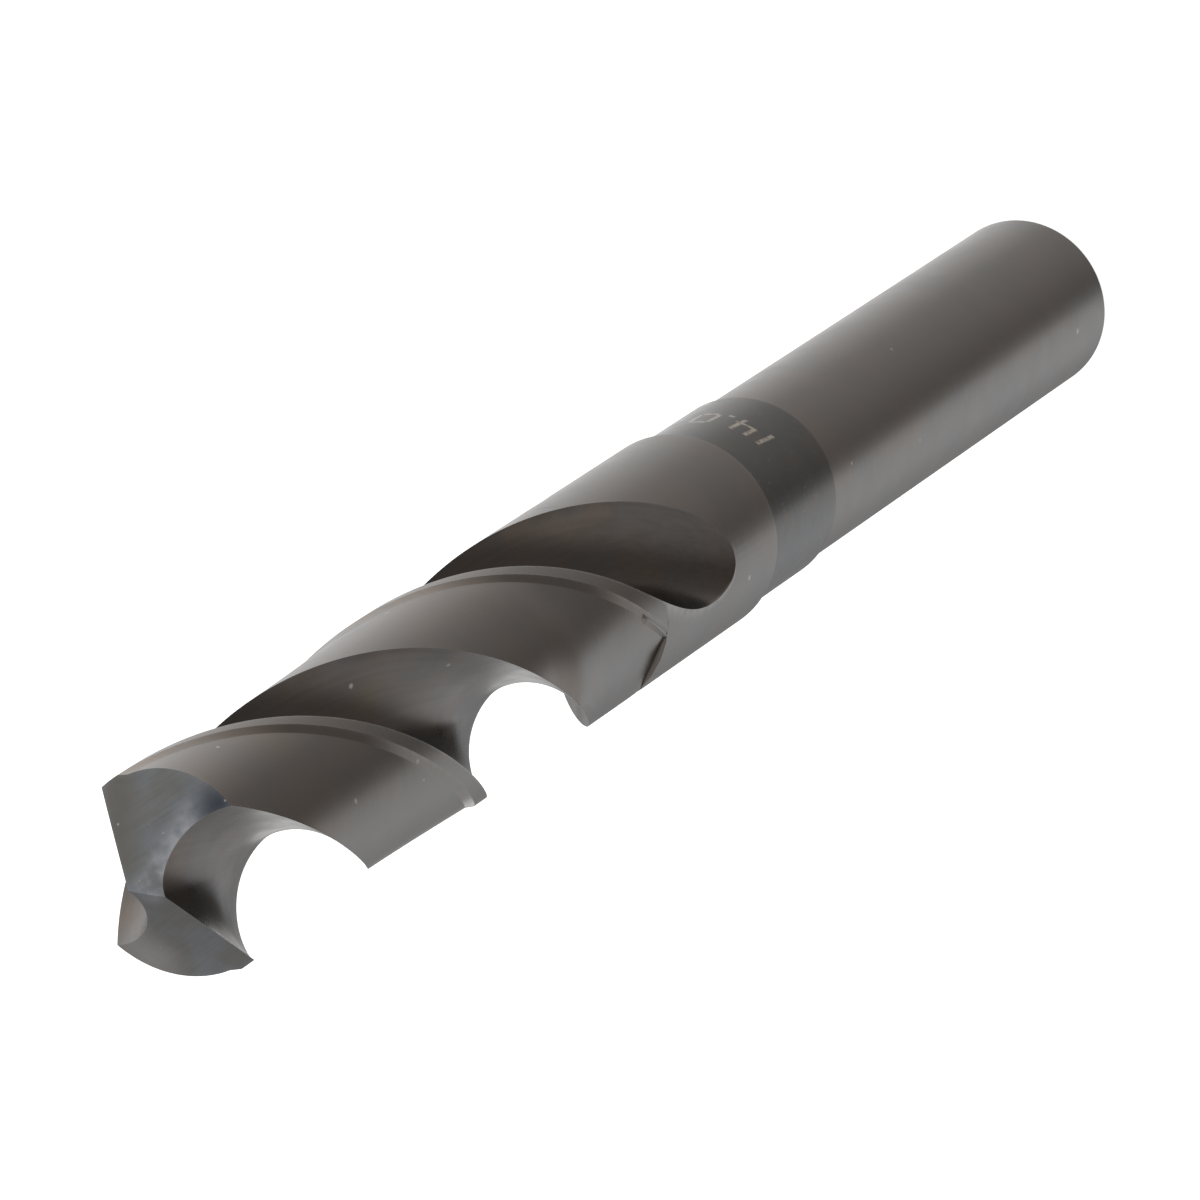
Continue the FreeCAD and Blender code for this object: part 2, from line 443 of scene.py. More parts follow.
# the evenly spaced ring k is stitched to the ring above it, where the flutes end
def stitchRings(d, k):
    heel = d.halfRing(0, d.eyeEnd)[1]
    angles = [d.halfRing(column, d.eyeEnd)[1] - heel for column in range(d.half)]
    angles += [angle + pi for angle in angles] + [2 * pi]
    n = 2 * d.half
    even = [2 * pi * j / n for j in range(n + 1)]
    faces = []
    i = j = 0
    while i < n or j < n:
        if j == n or (i < n and even[i + 1] <= angles[j + 1]):
            faces.append((k * n + i, k * n + (i + 1) % n, (k + 1) * n + j % n))
            i += 1
        else:
            faces.append((k * n + i % n, (k + 1) * n + (j + 1) % n, (k + 1) * n + j))
            j += 1
    return faces


def insideLoop(q, loop, margin):
    hits = False
    for a, b in zip(loop, loop[1:] + loop[:1]):
        if (a.y > q.y) != (b.y > q.y) and q.x < a.x + (q.y - a.y) / (b.y - a.y) * (b.x - a.x):
            hits = not hits
    return hits and min((a - q).length for a in loop) > margin


# one flank, filled between its lip, its heel and the chisel edge: places, cells and rim length
def flankFill(s, rim):
    loop = rim[:1]
    for p in rim[1:]:
        if (p - loop[-1]).length > s["leastRimGap"]:
            loop.append(p)
    chisel = loop[0] - loop[-1]
    steps = ceil(chisel.length / s["chiselSteps"])
    loop += [loop[-1] + chisel * i / steps for i in range(1, steps)]
    grid = s["flankGrid"]
    rowStep = grid * 0.87  # rows of even triangles
    reach = int(s["radius"] / grid) + 1
    inner = [Vector((x * grid + (y % 2) * grid / 2, y * rowStep))
             for x in range(-reach, reach + 1) for y in range(-reach - 2, reach + 3)]
    inner = [q for q in inner if insideLoop(q, loop, grid * 0.55)]
    flat, _, cells, _, _, _ = delaunay_2d_cdt(loop + inner, [], [list(range(len(loop)))], 1, 1e-6)
    return flat, cells, len(loop)


# points, faces, finish of each face, edge lightening of each point (real wear and painted highlight), and
# the edges that stay sharp
def drillMesh(s):
    d = DrillShape(s)
    n = 2 * d.half
    join = d.cornerHeight - s["climbLength"]
    fluted = levelRings(d, s, join) + climbingRings(d, s, join)
    top = fluted[-1]
    near = snapToChisel(d, top, join)
    turned = turnedSizes(d, s)
    start = atan2(fluted[0][0][0].y, fluted[0][0][0].x)
    rings = [[(heading(start + 2 * pi * j / n) * radius, z) for j in range(n)]
             for radius, z, _ in turned] + fluted
    verts = [(p.x * mm, p.y * mm, z * mm) for ring in rings for p, z in ring]
    wearAndHighlight = [amount for _, _, amount in turned for _ in range(n)]
    rubAndHighlight = s["wearAndHighlight"]
    clearance, margin = s["heelColumns"] + s["reliefColumns"], d.landColumns - s["marginColumns"]
    wornAndHighlight = {0: rubAndHighlight["heel"], clearance: rubAndHighlight["clearance"], margin: rubAndHighlight["margin"], d.landColumns: rubAndHighlight["lip"]}
    for ring in fluted:
        least = rubAndHighlight["point"] if ring is top else 0
        for j in range(n):
            faded = ring[j][1] <= d.reliefStop and j % d.half == margin
            wearAndHighlight.append(0 if faded else max(wornAndHighlight.get(j % d.half, 0), least))
    neckStart = s["shankLength"]
    bodyStart = neckStart + s["neckLength"]
    faces, finish, sharp = [], [], []
    for k in range(len(rings) - 1):
        if k == len(turned) - 1:
            strip = stitchRings(d, k)
            faces += strip
            finish += [0] * len(strip)
            continue
        onNeck = neckStart <= rings[k][0][1] and rings[k + 1][0][1] <= bodyStart
        for j in range(n):
            a, b = k * n + j, k * n + (j + 1) % n
            faces.append((a, b, b + n, a + n))
            inFlute = k >= len(turned) and j % d.half >= d.landColumns
            finish.append(2 if inFlute else int(onNeck))
        if k >= len(turned):
            always = 0, d.landColumns
            onLand = () if rings[k][0][1] <= d.reliefStop else (s["heelColumns"], clearance, margin)
            sharp += [(k * n + j, (k + 1) * n + j) for c in always + onLand for j in (c, c + d.half)]
    faces.append(tuple(range(n - 1, -1, -1)))
    finish.append(0)
    for first, last in ((near, near + d.half), (near + d.half, near)):
        count = (first - last) % n + 1
        rim = [top[(last + i) % n][0] for i in range(count)]
        middle = rim[len(rim) // 2]
        sign = 1 if d.flankHeight(middle) < d.flankHeight(-middle) else -1
        flat, cells, rimLength = flankFill(s, rim)
        base = len(verts)
        verts += [(q.x * mm, q.y * mm, d.flankHeight(q * sign) * mm) for q in flat]
        wearAndHighlight += [rubAndHighlight["point"] if i < rimLength else 0 for i in range(len(flat))]
        faces += [tuple(base + i for i in cell) for cell in cells]
        finish += [3] * len(cells)
    return verts, faces, finish, wearAndHighlight, sharp


def makeDrill(s):
    verts, faces, finish, wearAndHighlight, sharp = drillMesh(s)
    mesh = bpy.data.meshes.new("drillBody")
    mesh.from_pydata(verts, [], faces)
    mesh.polygons.foreach_set("material_index", finish)
    mesh.polygons.foreach_set("use_smooth", [True] * len(faces))
    mesh.attributes.new("edge", "FLOAT", "POINT").data.foreach_set("value", wearAndHighlight)
    bm = bmesh.new()
    bm.from_mesh(mesh)
    bm.verts.ensure_lookup_table()
    for a, b in sharp:
        edge = bm.edges.get((bm.verts[a], bm.verts[b]))
        if edge:
            edge.smooth = False
    # columns that run together are joined
    bmesh.ops.remove_doubles(bm, verts=bm.verts, dist=2e-6)
    bmesh.ops.dissolve_degenerate(bm, edges=bm.edges, dist=1e-6)
    for edge in bm.edges:
        if len(edge.link_faces) == 2 and edge.calc_face_angle(0) > radians(s["sharpAngle"]):
            edge.smooth = False
    loose = [v for v in bm.verts if not v.link_faces]
    bmesh.ops.delete(bm, geom=loose, context="VERTS")
    bmesh.ops.recalc_face_normals(bm, faces=bm.faces)
    openEdges = sum(1 for e in bm.edges if len(e.link_faces) != 2)
    bm.to_mesh(mesh)
    bm.free()
    ob = bpy.data.objects.new("drillBody", mesh)
    bpy.context.scene.collection.objects.link(ob)
    print("drill surface", len(mesh.polygons), "faces, open edges", openEdges)
    return ob


# camera: stands above the point and looks down along the drill
cameraView = {
    "place": (0.00561, 0.32706, 0.70825),
    "turn": (-16.2704, 22.5553, 51.8527),
    "sensor": 36.0,
    "lens": 320.4,
}


def makeCamera(v):
    cam = bpy.data.cameras.new("photoCamera")
    cam.sensor_width = v["sensor"]
    cam.lens = v["lens"]
    cam.clip_end = 20
    ob = bpy.data.objects.new("photoCamera", cam)
    ob.location = v["place"]
    ob.rotation_euler = [radians(a) for a in v["turn"]]
    bpy.context.scene.collection.objects.link(ob)
    bpy.context.scene.camera = ob


# what the metal mirrors, in three bands by height: bearing round the drill (0 is the
# camera's side), brightness, and tint from cool (-1) to warm (1)
surroundings = {
    "cameraBearing": 89.1,
    "low": [
        (-180, 0.8, 0), (-172, 0.4, 0), (-164, 0.3, 0), (-144, 0.33, 0), (-120, 0.55, -0.4),
        (-96, 0.92, -0.7), (-72, 1.16, -0.8), (-57, 1.18, -0.6), (-50, 0.96, -0.3), (-42, 0.5, 0),
        (-27, 0.38, 0.4), (0, 0.56, 0.2), (24, 0.68, 0), (48, 0.70, 0), (72, 0.66, 0), (96, 0.79, 0),
        (120, 0.84, 0), (144, 0.87, 0), (168, 1.05, 0), (180, 0.8, 0),
    ],
    "middle": [
        (-180, 0.42, 0), (-168, 0.44, 0), (-144, 0.56, 0), (-120, 0.84, 0), (-96, 1.32, -0.6),
        (-72, 1.55, -0.7), (-50, 1.2, -0.4), (-40, 0.72, 0), (-27, 0.47, 0.4), (0, 0.5, 0.4),
        (24, 0.55, 0.2), (48, 1.2, 0), (72, 2.1, 0), (96, 2.2, 0), (120, 2.0, 0), (144, 1.1, 0),
        (168, 0.5, 0), (180, 0.42, 0),
    ],
    "high": [
        (-180, 1.5, 0), (-144, 1.2, 0), (-96, 0.95, 0), (-48, 0.65, 0), (-24, 0.42, 0), (24, 0.42, 0),
        (48, 1.0, -0.5), (72, 1.35, -1), (96, 1.45, -0.6), (120, 1.4, 0), (144, 1.3, 0), (180, 1.5, 0),
    ],
    # heights, in degrees above the horizon, over which one band gives way to the next
    "middleFrom": (-62, -50),
    "highFrom": (-15, 20),
    # the bright place right behind the drill: bearing and height, outer and inner reach
    "behind": (-157, -49),
    "behindReach": (12, 3),
    "behindBrightness": 1.35,
    "tintStrength": 0.05,
}


def node(tree, kind, x=0, y=0, **values):
    n = tree.nodes.new(kind)
    n.location = (x, y)
    for key, value in values.items():
        setattr(n, key, value)
    return n


def mathNode(tree, operation, a, b=None, x=0, y=0, clamp=False):
    n = node(tree, "ShaderNodeMath", x, y, operation=operation, use_clamp=clamp)
    for i, value in enumerate((a, b)):
        if value is None:
            continue
        if isinstance(value, (int, float)):
            n.inputs[i].default_value = value
        else:
            tree.links.new(value, n.inputs[i])
    return n.outputs[0]


def bearingRamp(t, share, stops, tintStrength, y):
    ramp = node(t, "ShaderNodeValToRGB", -400, y)
    marks = ramp.color_ramp.elements
    while len(marks) > 1:
        marks.remove(marks[-1])
    for i, (angle, value, tint) in enumerate(stops):
        mark = marks[0] if i == 0 else marks.new(angle / 360 + 0.5)
        mark.position = angle / 360 + 0.5
        warmth = tintStrength * tint
        mark.color = (value * (1 + warmth), value, value * (1 - warmth), 1)
    t.links.new(share, ramp.inputs[0])
    return ramp.outputs[0]


# goes from lower to upper between two angles above the horizon
def heightBlend(t, height, span, lower, upper, x):
    share = node(t, "ShaderNodeMapRange", x, -300, interpolation_type="SMOOTHSTEP")
    share.inputs["From Min"].default_value = sin(radians(span[0]))
    share.inputs["From Max"].default_value = sin(radians(span[1]))
    t.links.new(height, share.inputs["Value"])
    mix = node(t, "ShaderNodeMix", x + 200, 0, data_type="RGBA")
    t.links.new(share.outputs[0], mix.inputs["Factor"])
    t.links.new(lower, mix.inputs["A"])
    t.links.new(upper, mix.inputs["B"])
    return mix.outputs["Result"]


def makeWorld(v):
    world = bpy.data.worlds.new("studio")
    world.use_nodes = True
    t = world.node_tree
    t.nodes.clear()
    coord = node(t, "ShaderNodeTexCoord", -1400)
    turn = node(t, "ShaderNodeVectorRotate", -1200, rotation_type="Z_AXIS")
    turn.inputs["Angle"].default_value = radians(-v["cameraBearing"])
    t.links.new(coord.outputs["Generated"], turn.inputs["Vector"])
    xyz = node(t, "ShaderNodeSeparateXYZ", -1000)
    t.links.new(turn.outputs[0], xyz.inputs[0])
    bearing = mathNode(t, "ARCTAN2", xyz.outputs["Y"], xyz.outputs["X"], -800)
    share = mathNode(t, "MULTIPLY_ADD", bearing, 1 / radians(360), -600)
    share.node.inputs[2].default_value = 0.5
    low, middle, high = [bearingRamp(t, share, v[band], v["tintStrength"], y)
                         for band, y in (("low", 300), ("middle", 0), ("high", -300))]
    room = heightBlend(t, xyz.outputs["Z"], v["middleFrom"], low, middle, -100)
    room = heightBlend(t, xyz.outputs["Z"], v["highFrom"], room, high, 200)
    bearing, lift = [radians(angle) for angle in v["behind"]]
    toBehind = node(t, "ShaderNodeVectorMath", -100, -600, operation="DOT_PRODUCT")
    toBehind.inputs[1].default_value = (cos(bearing) * cos(lift), sin(bearing) * cos(lift), sin(lift))
    t.links.new(turn.outputs[0], toBehind.inputs[0])
    glow = node(t, "ShaderNodeMapRange", 100, -600, interpolation_type="SMOOTHSTEP")
    for label, reach in zip(("From Min", "From Max"), v["behindReach"]):
        glow.inputs[label].default_value = cos(radians(reach))
    t.links.new(toBehind.outputs["Value"], glow.inputs["Value"])
    bright = node(t, "ShaderNodeMix", 500, -400, data_type="RGBA")
    bright.inputs["B"].default_value = (v["behindBrightness"],) * 3 + (1,)
    t.links.new(glow.outputs[0], bright.inputs["Factor"])
    t.links.new(room, bright.inputs["A"])
    mirrored = node(t, "ShaderNodeBackground", 600, -200)
    t.links.new(bright.outputs["Result"], mirrored.inputs["Color"])
    white = node(t, "ShaderNodeBackground", 600, 200)
    white.inputs["Color"].default_value = (1, 1, 1, 1)
    # rays from the camera and through glass meet plain white, all others the studio
    rays = node(t, "ShaderNodeLightPath", 400, 500).outputs
    plain = mathNode(t, "MAXIMUM", rays["Is Camera Ray"], rays["Is Transmission Ray"], 600, 500)
    pick = node(t, "ShaderNodeMixShader", 850)
    t.links.new(plain, pick.inputs[0])
    t.links.new(mirrored.outputs[0], pick.inputs[1])
    t.links.new(white.outputs[0], pick.inputs[2])
    out = node(t, "ShaderNodeOutputWorld", 1050)
    t.links.new(pick.outputs[0], out.inputs[0])
    bpy.context.scene.world = world


# the floor keeps the shadow; its glow, which only the camera sees, makes it white
floorLook = {
    "half": 3.0,
    "colour": (0.5, 0.5, 0.5),
    "glow": 0.72,
}


def makeFloor(v):
    mesh = bpy.data.meshes.new("floor")
    s = v["half"]
    mesh.from_pydata([(-s, -s, 0), (s, -s, 0), (s, s, 0), (-s, s, 0)], [], [(0, 1, 2, 3)])
    ob = bpy.data.objects.new("floor", mesh)
    bpy.context.scene.collection.objects.link(ob)
    mat = bpy.data.materials.new("paleFloor")
    mat.use_nodes = True
    t = mat.node_tree
    t.nodes.clear()
    diffuse = node(t, "ShaderNodeBsdfDiffuse", 0, 0)
    diffuse.inputs["Color"].default_value = (*v["colour"], 1)
    glow = node(t, "ShaderNodeEmission", 0, -200)
    glow.inputs["Strength"].default_value = v["glow"]
    both = node(t, "ShaderNodeAddShader", 200)
    t.links.new(diffuse.outputs[0], both.inputs[0])
    t.links.new(glow.outputs[0], both.inputs[1])
    path = node(t, "ShaderNodeLightPath", 0, 400)
    pick = node(t, "ShaderNodeMixShader", 400)
    t.links.new(path.outputs["Is Camera Ray"], pick.inputs[0])
    t.links.new(diffuse.outputs[0], pick.inputs[1])
    t.links.new(both.outputs[0], pick.inputs[2])
    out = node(t, "ShaderNodeOutputMaterial", 600)
    t.links.new(pick.outputs[0], out.inputs[0])
    mesh.materials.append(mat)
    ob.visible_glossy = False


# one soft lamp above, in metres and watts; the metal doesn't mirror it
overhead = {
    "place": (0.3, 0.4, 1.2),
    "aim": (0, 0, 0.08),
    "size": 1.0,
    "power": 8,
}


def makeLight(name, v):
    lamp = bpy.data.lights.new(name, "AREA")
    lamp.shape = "DISK"
    lamp.size = v["size"]
    lamp.energy = v["power"]
    ob = bpy.data.objects.new(name, lamp)
    ob.location = v["place"]
    direction = Vector(v["aim"]) - Vector(v["place"])
    ob.rotation_euler = direction.to_track_quat("-Z", "Y").to_euler()
    bpy.context.scene.collection.objects.link(ob)
    ob.visible_glossy = False


# what stays the same in the effects, whatever the finish: which part of a noise counts,
# from its low value to its high one, and how strongly
effects = {
    "lineSpread": (0.3, 0.7),
    "patchSpread": (0.35, 0.65),
    "glossSpread": (0.3, 0.7),
    "glossScale": 2.7,
    "rubAndHighlightSpread": (0.35, 0.62),
    "leastRubAndHighlight": 0.25,
    "rubAndHighlightCurve": 1.5,
    "bumpDepth": 0.0001,
}


def newGroup(name, inputs, outputs):
    t = bpy.data.node_groups.new(name, "ShaderNodeTree")
    for label, kind, value in inputs:
        socket = t.interface.new_socket(label, in_out="INPUT", socket_type="NodeSocket" + kind)
        socket.default_value = value
    for label, kind in outputs:
        t.interface.new_socket(label, in_out="OUTPUT", socket_type="NodeSocket" + kind)
    return t, node(t, "NodeGroupInput", -1200).outputs, node(t, "NodeGroupOutput", 1000).inputs


# where the surface point is on the drill, in millimetres
def placeInMm(t, x=-1000, y=-300):
    coord = node(t, "ShaderNodeTexCoord", x, y)
    scale = node(t, "ShaderNodeVectorMath", x + 160, y, operation="SCALE")
    scale.inputs["Scale"].default_value = 1 / mm
    t.links.new(coord.outputs["Object"], scale.inputs[0])
    return scale.outputs[0]


# the place scaled by one value across the axis and another along it
def stretched(t, place, across, along, x=-500, y=-300):
    join = node(t, "ShaderNodeCombineXYZ", x, y - 150)
    for socket, value in zip(join.inputs, (across, across, along)):
        if isinstance(value, (int, float)):
            socket.default_value = value
        else:
            t.links.new(value, socket)
    scale = node(t, "ShaderNodeVectorMath", x + 160, y, operation="MULTIPLY")
    t.links.new(place, scale.inputs[0])
    t.links.new(join.outputs[0], scale.inputs[1])
    return scale.outputs[0]


def noise(t, vector, scale=1.0, detail=3.0, x=0, y=0):
    n = node(t, "ShaderNodeTexNoise", x, y)
    n.inputs["Scale"].default_value = scale
    n.inputs["Detail"].default_value = detail
    t.links.new(vector, n.inputs["Vector"])
    return n.outputs["Fac"]


# the value, carried from one span of numbers to another
def ranged(t, value, span, target, x=0, y=0, kind="LINEAR"):
    n = node(t, "ShaderNodeMapRange", x, y, interpolation_type=kind)
    for label, amount in zip(("From Min", "From Max", "To Min", "To Max"), (*span, *target)):
        if isinstance(amount, (int, float)):
            n.inputs[label].default_value = amount
        else:
            t.links.new(amount, n.inputs[label])
    t.links.new(value, n.inputs["Value"])
    return n.outputs[0]


def mixColour(t, factor, a, b, x, y=0, blend="MIX"):
    n = node(t, "ShaderNodeMix", x, y, data_type="RGBA", blend_type=blend)
    for label, value in (("Factor", factor), ("A", a), ("B", b)):
        if isinstance(value, (int, float)):
            n.inputs[label].default_value = value
        elif isinstance(value, tuple):
            n.inputs[label].default_value = (*value, 1)
        else:
            t.links.new(value, n.inputs[label])
    return n.outputs["Result"]


# the lines as a height, and as a shade that lies round 1
def shadeOutputs(t, lines, contrast, outs):
    t.links.new(lines, outs["Height"])
    darker = mathNode(t, "SUBTRACT", 1.0, contrast, 500, -200)
    lighter = mathNode(t, "ADD", 1.0, contrast, 500, -350)
    shade = ranged(t, lines, effects["lineSpread"], (darker, lighter), 700, -200)
    t.links.new(shade, outs["Shade"])


# fine grinding lines round the axis
def makeGroundLines():
    t, ins, outs = newGroup("groundLines", (
        ("Lines Per Mm", "Float", 8.0), ("Breaks Per Mm", "Float", 0.2), ("Contrast", "Float", 0.05)),
        (("Height", "Float"), ("Shade", "Float")))
    vector = stretched(t, placeInMm(t), ins["Breaks Per Mm"], ins["Lines Per Mm"])
    shadeOutputs(t, noise(t, vector, 1.0, 4.0, 200), ins["Contrast"], outs)
    return t


# streaks that wind round with the flutes
def makeHelixStreaks():
    t, ins, outs = newGroup("helixStreaks", (
        ("Lead", "Float", 72.0), ("Streaks Per Mm", "Float", 3.0), ("Breaks Per Mm", "Float", 0.1),
        ("Contrast", "Float", 0.05)),
        (("Height", "Float"), ("Shade", "Float")))
    place = placeInMm(t)
    xyz = node(t, "ShaderNodeSeparateXYZ", -700, -500)
    t.links.new(place, xyz.inputs[0])
    turns = mathNode(t, "DIVIDE", xyz.outputs["Z"], ins["Lead"], -550, -500)
    angle = mathNode(t, "MULTIPLY", turns, -2 * pi, -400, -500)
    untwist = node(t, "ShaderNodeVectorRotate", -250, -300, rotation_type="Z_AXIS")
    t.links.new(place, untwist.inputs["Vector"])
    t.links.new(angle, untwist.inputs["Angle"])
    vector = stretched(t, untwist.outputs[0], ins["Streaks Per Mm"], ins["Breaks Per Mm"], -50)
    shadeOutputs(t, noise(t, vector, 1.0, 4.0, 300), ins["Contrast"], outs)
    return t


# soft patches where the oxide is browner or bluer, duller or glossier
def makeOxideTone():
    t, ins, outs = newGroup("oxideTone", (
        ("Color", "Color", (0.1, 0.1, 0.1, 1)), ("Brown", "Color", (0.1, 0.09, 0.08, 1)),
        ("Blue", "Color", (0.09, 0.1, 0.11, 1)), ("Patches Per Mm", "Float", 0.2),
        ("Amount", "Float", 0.5), ("Roughness", "Float", 0.3), ("Roughness Change", "Float", 0.04)),
        (("Color", "Color"), ("Roughness", "Float")))
    vector = stretched(t, placeInMm(t), ins["Patches Per Mm"], ins["Patches Per Mm"])
    cloud = noise(t, vector, 1.0, 5.0)
    patches = ranged(t, cloud, effects["patchSpread"], (0.0, 1.0), 200, 0, "SMOOTHSTEP")
    tints = mixColour(t, patches, ins["Brown"], ins["Blue"], 400)
    t.links.new(mixColour(t, ins["Amount"], ins["Color"], tints, 600), outs["Color"])
    cloud = noise(t, vector, effects["glossScale"], 3.0, 0, -400)
    change = ranged(t, cloud, effects["glossSpread"], (-1.0, 1.0), 200, -400)
    scaled = mathNode(t, "MULTIPLY", change, ins["Roughness Change"], 400, -400)
    t.links.new(mathNode(t, "ADD", scaled, ins["Roughness"], 600, -400), outs["Roughness"])
    return t


# edges lightened along their length, partly rubbed places and partly painted highlight, from the mesh's
# edge values
def makeEdgeWearAndHighlight():
    t, ins, outs = newGroup("edgeWearAndHighlight", (
        ("Amount", "Float", 0.5), ("Breaks Per Mm", "Float", 1.5)), (("Mask", "Float"),))
    edge = node(t, "ShaderNodeAttribute", -600, 100, attribute_name="edge")
    vector = stretched(t, placeInMm(t), ins["Breaks Per Mm"], ins["Breaks Per Mm"])
    rubAndHighlight = ranged(t, noise(t, vector, 1.0, 3.0), effects["rubAndHighlightSpread"], (effects["leastRubAndHighlight"], 1.0), 200)
    close = mathNode(t, "POWER", edge.outputs["Fac"], effects["rubAndHighlightCurve"], 200, 200)
    wornAndHighlight = mathNode(t, "MULTIPLY", close, rubAndHighlight, 400)
    t.links.new(mathNode(t, "MULTIPLY", wornAndHighlight, ins["Amount"], 600, clamp=True), outs["Mask"])
    return t


# tiny pale grains of dust and bare metal
def makeSpecks():
    t, ins, outs = newGroup("specks", (
        ("Cells Per Mm", "Float", 1.0), ("Share", "Float", 0.1), ("Size", "Float", 0.1)),
        (("Mask", "Float"),))
    vector = stretched(t, placeInMm(t), ins["Cells Per Mm"], ins["Cells Per Mm"])
    cells = node(t, "ShaderNodeTexVoronoi", 0)
    cells.inputs["Scale"].default_value = 1
    t.links.new(vector, cells.inputs["Vector"])
    tone = node(t, "ShaderNodeSeparateColor", 200, -200)
    t.links.new(cells.outputs["Color"], tone.inputs[0])
    chosen = mathNode(t, "LESS_THAN", tone.outputs[0], ins["Share"], 400, -200)
    reach = mathNode(t, "MULTIPLY", tone.outputs[1], ins["Size"], 400, -350)
    near = ranged(t, cells.outputs["Distance"], (reach, 0.0), (0.0, 1.0), 600)
    t.links.new(mathNode(t, "MULTIPLY", near, chosen, 800, clamp=True), outs["Mask"])
    return t


def placeGroup(t, group, x, y, **values):
    n = node(t, "ShaderNodeGroup", x, y, node_tree=group)
    n.label = group.name
    for label, value in values.items():
        n.inputs[label.replace("_", " ")].default_value = value
    return n


# the oxide's finishes: colours, gloss and the marks of the machines that cut it; the pale colour serves
# worn edges, specks and painted highlights along edges
finishes = {
    "bodyOxide": {
        "colour": (0.1010, 0.0850, 0.0730), "brown": (0.110, 0.088, 0.072), "blue": (0.088, 0.082, 0.076),
        "patches": 0.16, "amount": 0.5, "roughness": 0.235, "change": 0.025,
        "lines": 9.0, "lineShade": 0.045, "bump": 0.05,
        "wearAndHighlight": 0.5, "bareAndHighlight": (0.30, 0.28, 0.26),
        "speckCells": 0.8, "speckShare": 0.06, "speckSize": 0.24,
    },
    "neckOxide": {
        "colour": (0.0470, 0.0400, 0.0350), "brown": (0.055, 0.045, 0.035), "blue": (0.041, 0.040, 0.040),
        "patches": 0.35, "amount": 0.6, "roughness": 0.2, "change": 0.03,
        "lines": 7.0, "lineShade": 0.07, "bump": 0.05,
        "wearAndHighlight": 0.6, "bareAndHighlight": (0.17, 0.16, 0.145),
        "speckCells": 2.4, "speckShare": 0.3, "speckSize": 0.3,
    },
    "fluteOxide": {
        "colour": (0.0665, 0.0560, 0.0490), "brown": (0.079, 0.060, 0.047), "blue": (0.059, 0.057, 0.055),
        "patches": 0.2, "amount": 0.5, "roughness": 0.29, "change": 0.04,
        "streaks": 3.2, "streakShade": 0.07, "bump": 0.02,
        "wearAndHighlight": 0.45, "bareAndHighlight": (0.28, 0.26, 0.245),
        "speckCells": 0.8, "speckShare": 0.06, "speckSize": 0.24,
    },
    "flankOxide": {
        "colour": (0.116, 0.115, 0.116), "brown": (0.103, 0.099, 0.091), "blue": (0.119, 0.123, 0.133),
        "patches": 0.35, "amount": 0.6, "roughness": 0.42, "change": 0.05,
        "bump": 0.06,
        "wearAndHighlight": 0.3, "bareAndHighlight": (0.30, 0.30, 0.31),
        "speckCells": 2.0, "speckShare": 0.2, "speckSize": 0.25,
    },
}

# plain size number on the neck; a stroke is middle right, middle up, half width and half
# height, in units that the scale turns into mm
sizeMark = {
    "bearing": 131.0,
    "height": 60.3,
    "half": 2.25,
    "slant": 0.08,
    "scale": 1.5,
    "colour": (0.34, 0.29, 0.235),
    "strength": 0.9,
    "edge": (0.03, -0.05),
    "crumbleScale": 3.5,
    "crumbleSpread": (0.36, 0.55),
    "leastInk": 0.35,
    "strokes": [
        (0.5, 0.0, 0.11, 0.85),  # 1
        (1.22, 0.3, 0.11, 0.55), (1.65, -0.25, 0.54, 0.11), (1.95, 0.0, 0.11, 0.85),  # 4
        (2.62, -0.74, 0.13, 0.13),  # point
        (3.15, 0.0, 0.11, 0.62), (4.05, 0.0, 0.11, 0.62),  # 0, its sides
        (3.6, 0.72, 0.38, 0.11), (3.6, -0.72, 0.38, 0.11),  # and its top and bottom
    ],
}

# pale streak on the flank, then its patches of painted shade and painted highlight as from, to, reach
# and colour; places in mm from the axis
flankMarks = {
    "paleStreakFrom": (-2.1, 3.6, 0.0),
    "paleStreakTo": (-0.3, 0.4, 0.0),
    "paleStreakWidth": 1.7,
    "paleStreakColour": (0.222, 0.222, 0.228),
    "patches": [
        # the first and third are painted shade, the second a painted highlight
        ((-1.9, 5.4, 0.0), (-1.9, 5.4, 0.0), 2.2, (0.040, 0.044, 0.052)),
        ((1.6, -5.0, 0.0), (3.2, -4.6, 0.0), 2.9, (0.178, 0.171, 0.163)),
        ((-6.6, 0.2, 0.0), (-2.8, -1.2, 0.0), 2.4, (0.092, 0.087, 0.078)),
    ],
    "grindLines": 6.0,
    "lineBreaks": 0.25,
    "lineShade": 0.06,
    "cloudScale": 0.8,
    "cloudSpread": (0.36, 0.6),
    "leastPaleStreak": 0.1,
}


